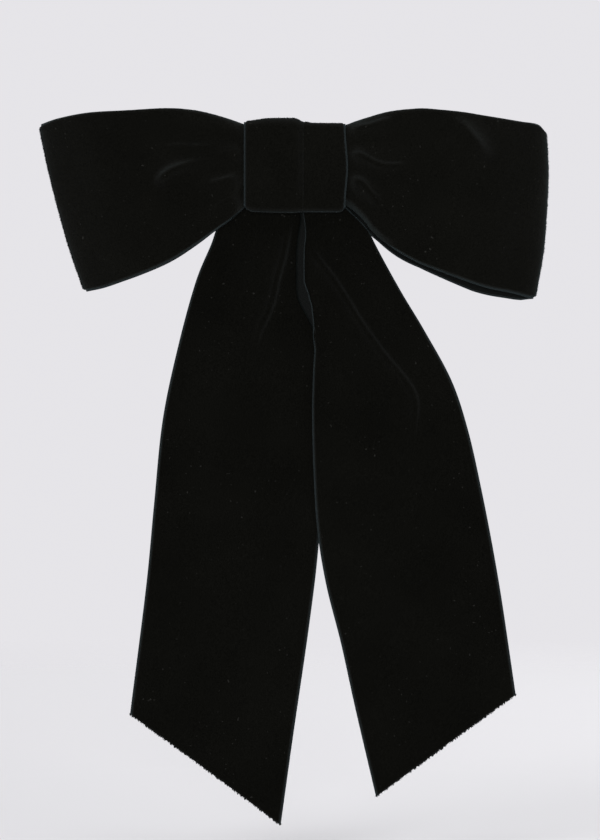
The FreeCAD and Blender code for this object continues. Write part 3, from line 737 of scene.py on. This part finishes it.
TAIL_RIGHT = {
    "outer": [(14.5, 12.8), (16.0, -2.0), (21.0, -12.0), (26.0, -20.0), (29.8, -28.5), (39.4, -46.0),
              (48.3, -60.8), (58.3, -79.3), (64.4, -97.8), (69.4, -120.0), (73.7, -142.3), (77.4, -164.5),
              (82.1, -196.4)],
    "inner": [(-14.5, 12.8), (-10.0, 0.0), (-2.0, -10.5), (2.6, -16.5), (1.9, -25.0), (1.3, -31.0),
              (1.2, -40.0), (1.5, -47.5), (3.3, -52.0), (5.6, -56.2), (7.3, -60.0), (7.5, -64.0),
              (7.1, -68.5), (6.7, -74.0), (6.4, -82.0), (6.2, -91.5), (6.6, -110.0), (8.0, -134.0),
              (11.4, -155.3), (17.0, -177.5), (22.3, -201.6), (30.0, -234.4)],
    "creases": [
        ([(4.6, -27.0), (6.4, -31.4), (13.8, -41.3), (18.7, -48.6), (23.7, -56.9), (29.4, -65.1),
          (34.3, -71.6), (41.4, -80.0), (44.8, -87.0), (44.2, -96.0), (43.4, -112.0)], 1.3, 0.8, (0.1, 0.3)),
        ([(14.0, -14.0), (22.0, -32.0), (34.0, -55.0), (44.0, -75.0)], 0.6, 2.6, (0.05, 0.6)),
    ],
    "forward": 2.4,
    "curl": [(-68.0, 0.0), (-64.0, 1.0), (-59.0, 2.9), (-56.0, 4.1), (-52.0, 5.9), (-47.8, 6.5),
             (-43.0, 5.1), (-25.0, 5.0), (-18.0, 3.2)],
    "seed": 22,
}
CURL_R = 0.9             # the right tail's inner edge curls forward over itself below the knot
TAIL_ROWS = 240
TAIL_SURPLUS = 0.09      # how much wider than its space a tail's cloth is near the knot
EDGE_LEAN = 1.2          # how far both edges come forwards at the tip
FOLD_TURN_Z = 10.5       # above this the two tails run into one another round the fold
FOLD_Y = -11.1           # middle plane of that fold
# the left tail seen from the side (z, y), from the top of the fold down
TAIL_HANG = [(12.9, -11.1), (12.2, -10.2), (10.5, -9.9), (0.0, -9.9), (-8.0, -9.9), (-22.0, -9.2),
             (-36.0, -7.6), (-60.0, -7.2), (-110.0, -8.4), (-160.0, -9.4), (-210.0, -8.4), (-250.0, -9.4)]


def tail_grid(shape):
    """Ground of one tail, from the top of the fold to the slant cut."""
    across = columns(RIBBON_W, 0.5)
    share = np.linspace(0, 1, TAIL_ROWS)
    outer = at_share(smooth_path(shape["outer"], 300), share)[:, None]
    inner = at_share(smooth_path(shape["inner"], 300), share)[:, None]
    t = (across / RIBBON_W)[None, :]
    reach = np.linalg.norm(inner - outer, axis=-1)
    curled = np.interp(inner[..., 1], *zip(*shape["curl"]))
    past = t * (reach + curled) - reach
    turn = np.clip(past / CURL_R, 0, math.pi)
    flat = np.clip(past - math.pi * CURL_R, 0, None)
    inward = np.where(past < 0, past, CURL_R * np.sin(turn) - flat)
    over = np.where(past < 0, 0, CURL_R * (1 - np.cos(turn)))
    x, z = np.moveaxis(inner + (inner - outer) / reach[..., None] * inward[..., None], -1, 0)
    hang = np.array(TAIL_HANG)[::-1]
    y = np.interp(z, hang[:, 0], hang[:, 1])
    if shape["forward"]:
        y = np.where(z > FOLD_TURN_Z, 2 * FOLD_Y - y, y - shape["forward"])
    crown = 4 * t * (1 - t)
    lift = waves(x, z, shape["seed"], size=70, height=0.9) * smoothstep(-z, 18.0, 60.0)
    lift = lift + EDGE_LEAN * (1 - crown) * smoothstep(-z, 70.0, 200.0)
    for points, rise, width, fade in shape["creases"]:
        lift = lift + crease(x, z, points, rise, width, fade) * smoothstep(-z, 10.0, 24.0)
    return np.stack([x, y - lift - over, z], -1), across


def make_tail(name, shape, nodes):
    grid, across = tail_grid(shape)
    z = grid[:, grid.shape[1] // 2, 2]
    grid = settled(grid, surplus=TAIL_SURPLUS * smoothstep(z, -110.0, -30.0),
                   hold=np.where(z > -14.0, 1.0, FREE_HOLD), every=(4, 3))
    if shape["outer"][-1][0] > 0:
        grid = grid[:, ::-1]
    piece = ribbon(name, grid, across, TAIL_FINISH, seed=shape["seed"], fuzz=cut_fuzz)
    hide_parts(*nodes)
    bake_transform(piece)


# ---------------------------------------------------------------- knot
KNOT_PILE = 0.6          # share of the full pile that stands on the tightly drawn band
PLEAT_STACK = 1.9        # height of the pleat's plies above the ring
# across the band: x and height above the ring, right selvedge to left, through the knife pleat
KNOT_ACROSS = [(18.4, 0.2), (16.5, 0.0), (10.0, 0.0), (6.0, 0.1), (4.0, 0.5), (3.0, 0.3), (1.0, 0.0),
               (-10.2, 0.05), (-11.2, 0.4), (-10.2, 0.75), (-4.0, 0.75), (0.5, 0.4), (2.2, 0.3),
               (2.75, 0.45), (2.2, 0.65), (1.4, 1.1), (0.1, 1.75), (-2.0, 1.9), (-10.0, 1.8),
               (-14.5, 1.2), (-17.5, 0.8), (-19.0, 0.8)]
KNOT_ROWS = 150
KNOT_CORNER = 1.5
# how far the ring lies inside the CAD band's box; at the top that is left to the pleat and the pile
RING_INSET = {"front": 1.2, "back": 2.35, "bottom": 0.95}
KNOT_BULGE = 1.0         # how far the band's right side swells at mid-height
KNOT_ROUNDING = 1.3      # how far its lower corners are drawn up
KNOT_SLANT = 0.012       # slope of its lower edge
RING_GAP = 0.003         # share of the ring left open at each of the band's two ends, under the flap


def rounded_ring(front, back, top, bottom, radius, count):
    """A ring in the YZ plane, all but closed: from the middle of the back, under, up the front and over."""
    quarter = np.radians(np.linspace(0, 90, 12))
    middle = [[back, (top + bottom) / 2]]
    path = [middle]
    centres = [(back - radius, bottom + radius), (front + radius, bottom + radius),
               (front + radius, top - radius), (back - radius, top - radius)]
    for corner, centre in enumerate(centres):
        angle = -quarter - corner * math.pi / 2
        path.append(centre + radius * np.stack([np.cos(angle), np.sin(angle)], -1))
    return at_share(np.vstack(path + [middle]), np.linspace(RING_GAP, 1 - RING_GAP, count))


def knot_grid():
    """Ground of the band: its profile across, carried round the ring."""
    low, high = box("knot_band")
    profile = smooth_path(KNOT_ACROSS, 900)
    length = np.linalg.norm(np.diff(profile, axis=0), axis=1).sum()
    across = columns(length, 0.35)
    profile = at_share(profile, across / length)
    pile = KNOT_PILE * (PILE + GROUND / 2)
    ring = rounded_ring(low[1] + RING_INSET["front"], high[1] - RING_INSET["back"],
                        high[2] - PLEAT_STACK - pile, low[2] + RING_INSET["bottom"],
                        KNOT_CORNER, KNOT_ROWS)
    tangent = np.gradient(ring, axis=0)
    tangent /= np.linalg.norm(tangent, axis=1, keepdims=True)
    outward = np.stack([-tangent[:, 1], tangent[:, 0]], -1)
    # the pleat is pressed flatter round the back and towards the lower end
    flatter = 1 - 0.6 * smoothstep(ring[:, 0], -20.0, -17.0)
    flatter *= 1 - 0.75 * smoothstep(-ring[:, 1], 9.0, 16.0)
    bulge = KNOT_BULGE * np.exp(-((ring[:, 1] + 1) / 9.0) ** 2) * (ring[:, 0] < -20)
    x = profile[None, :, 0] + bulge[:, None] * smoothstep(profile[:, 0], 5.0, 19.0)[None, :]
    height = profile[None, :, 1] * flatter[:, None]
    y = ring[:, :1] + outward[:, :1] * height
    z = ring[:, 1:] + outward[:, 1:] * height
    rounding = KNOT_ROUNDING * smoothstep(np.abs(x), 15.5, 19.5)
    z = z + (rounding - KNOT_SLANT * x) * smoothstep(-z, 0, 16)
    y = y - waves(x, z, seed=9, size=17, height=0.25)
    return np.stack([x, y, z], -1), across


def make_knot():
    """The band: one ribbon round the gathered loops, with a knife pleat down its front."""
    grid, across = knot_grid()
    piece = ribbon("knot_ribbon", grid, across, BAND_FINISH, pile=KNOT_PILE, seed=5,
                   fuzz=rim_fuzz(2600, (0.25, 0.55)))
    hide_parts("knot_band")
    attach(piece, ROOT)


FLAP_Z = (-8.0, 6.5)     # lower and upper end of the lap
FLAP_INSET = 0.8         # how far its ground lies inside the band's back face


def make_flap():
    """The band's lapped end at the back of the knot."""
    low, high = box("knot_band")
    across = columns(high[0] - low[0], 1.0)
    z, x = np.meshgrid(np.linspace(*FLAP_Z, 24), low[0] + across, indexing="ij")
    y = high[1] - FLAP_INSET + waves(x, z, seed=15, size=22, height=0.08)
    piece = ribbon("knot_flap", np.stack([x, y, z], -1), across, BAND_FINISH, pile=KNOT_PILE, seed=6)
    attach(piece, ROOT)


PLEATS = 9
PLEAT_DEPTH = 0.14       # a pleat cuts in by up to twice this share of the half thickness
WAIST = 0.09             # share by which the binding thread draws the gathers in
WAIST_HALF = 2.6         # and over which half length
CLEARANCE = 0.05         # share by which they stay inside the CAD piece elsewhere
THINNING = 2.2           # how many times as much they are drawn in front to back


def make_gathers():
    """The loops' middle inside the knot: lengthwise pleats, drawn in by the binding thread."""
    low, high = box("loop_centre")
    centre, half = (low + high) / 2, (high - low) / 2
    x = np.linspace(low[0], high[0], 72)[:, None]
    angle = np.linspace(0, math.tau, 240, endpoint=False)[None, :]
    drawn = CLEARANCE + WAIST * np.exp(-(x / WAIST_HALF) ** 4)
    # a rounded rectangle: z and the flat share of y from the sine and cosine, raised to small powers
    z = half[2] * (1 - drawn) * np.sign(np.sin(angle)) * np.abs(np.sin(angle)) ** 0.5
    flat = np.sign(np.cos(angle)) * np.abs(np.cos(angle)) ** 0.4
    on_face = 1 - np.abs(np.sin(angle)) ** 8
    pleat = 1 - PLEAT_DEPTH * (1 + np.cos(z / half[2] * math.pi * PLEATS)) * on_face
    y = centre[1] + half[1] * (1 - THINNING * drawn) * flat * pleat
    grid = np.stack([np.broadcast_to(x, y.shape), y, np.broadcast_to(z, y.shape)], -1)
    rows, cols = y.shape
    index = np.arange(rows * cols).reshape(rows, cols)
    following = np.roll(index, -1, axis=1)
    faces = np.stack([index[:-1], index[1:], following[1:], following[:-1]], -1).reshape(-1, 4).tolist()
    faces += [index[0].tolist(), index[-1, ::-1].tolist()]
    piece = add_object("gathered_middle", grid.reshape(-1, 3), faces, [0] * len(faces), BAND_FINISH[:1])
    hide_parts("loop_centre")
    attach(piece, ROOT)


make_loop("loop_left_ribbon", LOOP_LEFT, "loop_left", "left_loop_flex")
make_loop("loop_right_ribbon", LOOP_RIGHT, "loop_right", "right_loop_flex")
make_tail("tail_left_ribbon", TAIL_LEFT, ["tail_left", "tail_centre"])
make_tail("tail_right_ribbon", TAIL_RIGHT, ["tail_right"])
make_knot()
make_flap()
make_gathers()


# ---------------------------------------------------------------- finishes on the CAD parts
def finish_nodes(material, *nodes):
    """Give CAD parts a material."""
    for node in nodes:
        slots = frame["nodes"][node].data.materials
        slots.clear()
        slots.append(material)


finish_nodes(steel_material("nickel_plate", (0.74, 0.72, 0.68), (0.60, 0.58, 0.54), 0.22),
             "base_plate", "clasp_arm", "latch_bridge", "latch_rivet", "hinge_pin",
             "latch_prong_upper", "latch_prong_lower")
finish_nodes(steel_material("spring_strip", grey(0.62), grey(0.46), 0.30), "tension_bar")
finish_nodes(thread_material(), "band_stitches", "binding_thread")
finish_nodes(glue_material(), "knot_glue", "clip_glue")


# ---------------------------------------------------------------- floor, light and camera
FLOOR_R = 1.6
FLOOR_SIDES = 64
FLOOR_DROP = 0.012       # how far under the tails it lies


def make_floor():
    """A pale floor that fades out into the background."""
    turn = np.linspace(0, math.tau, FLOOR_SIDES, endpoint=False)
    ring = np.stack([FLOOR_R * np.cos(turn), FLOOR_R * np.sin(turn), 0 * turn], -1)
    mesh = bpy.data.meshes.new("floor")
    mesh.from_pydata(ring.tolist(), [], [list(range(FLOOR_SIDES))])
    floor = bpy.data.objects.new("floor", mesh)
    floor.location.z = cad_bounds[0].z - FLOOR_DROP
    bpy.context.scene.collection.objects.link(floor)
    material, nodes, links, shader = new_material("pale_floor")
    shader.inputs["Base Color"].default_value = (0.80, 0.795, 0.82, 1.0)
    shader.inputs["Roughness"].default_value = 0.8
    place = add(nodes, "ShaderNodeTexCoord")
    distance = add(nodes, "ShaderNodeVectorMath", operation="LENGTH")
    links.new(place.outputs["Object"], distance.inputs[0])
    clear = add(nodes, "ShaderNodeBsdfTransparent")
    mix = add(nodes, "ShaderNodeMixShader")
    links.new(ramp_node(nodes, links, distance.outputs["Value"], [(0.25, grey(0)), (1.0, grey(1))]),
              mix.inputs["Fac"])
    links.new(shader.outputs["BSDF"], mix.inputs[1])
    links.new(clear.outputs["BSDF"], mix.inputs[2])
    links.new(mix.outputs["Shader"], nodes["Material Output"].inputs["Surface"])
    mesh.materials.append(material)


# name, place and size in metres, power in watts
LAMPS = [
    ("front", (0.0, -1.6, -0.14), 0.4, 29),
    ("key", (-0.8, -1.0, 0.8), 0.7, 5),
    ("fill", (1.1, -0.9, 0.2), 0.9, 4),
    ("back", (0.5, 1.2, 0.8), 0.8, 12),
    ("top", (0.0, 0.1, 1.4), 1.0, 9),
]


def make_light(name, place, size, power):
    """A soft square lamp aimed at the middle of the bow."""
    light = bpy.data.lights.new(name, "AREA")
    light.size = size
    light.energy = power
    lamp = bpy.data.objects.new(name, light)
    lamp.location = place
    target = (cad_bounds[0] + cad_bounds[1]) / 2
    lamp.rotation_euler = (target - Vector(place)).to_track_quat("-Z", "Y").to_euler()
    bpy.context.scene.collection.objects.link(lamp)


BACKDROP = 1.0           # how bright the backdrop looks
SURROUND = 0.26          # how much light it gives


def make_world():
    world = bpy.data.worlds.new("studio")
    world.use_nodes = True
    nodes, links = world.node_tree.nodes, world.node_tree.links
    nodes["Background"].inputs["Color"].default_value = (0.79, 0.78, 0.81, 1.0)
    seen = add(nodes, "ShaderNodeLightPath")
    strength = add(nodes, "ShaderNodeMapRange")
    strength.inputs["To Min"].default_value = SURROUND
    strength.inputs["To Max"].default_value = BACKDROP
    links.new(seen.outputs["Is Camera Ray"], strength.inputs["Value"])
    links.new(strength.outputs["Result"], nodes["Background"].inputs["Strength"])
    bpy.context.scene.world = world


CAMERA_DISTANCE = 1.0
BOW_PLANE_Y = -18.0
FRAME_HEIGHT = 311.3     # what the picture shows at the bow, top to bottom
AIM_X, AIM_Z = 1.7, -94.1


def make_camera():
    data = bpy.data.cameras.new("camera")
    data.sensor_fit = "VERTICAL"
    data.sensor_height = 36.0
    data.lens = data.sensor_height * CAMERA_DISTANCE / (FRAME_HEIGHT * MM)
    camera = bpy.data.objects.new("camera", data)
    camera.location = (AIM_X * MM, BOW_PLANE_Y * MM - CAMERA_DISTANCE, AIM_Z * MM)
    camera.rotation_euler = (math.radians(90), 0, 0)
    bpy.context.scene.collection.objects.link(camera)
    bpy.context.scene.camera = camera


make_floor()
make_world()
for lamp in LAMPS:
    make_light(*lamp)
make_camera()
bpy.context.scene.view_settings.view_transform = "Standard"
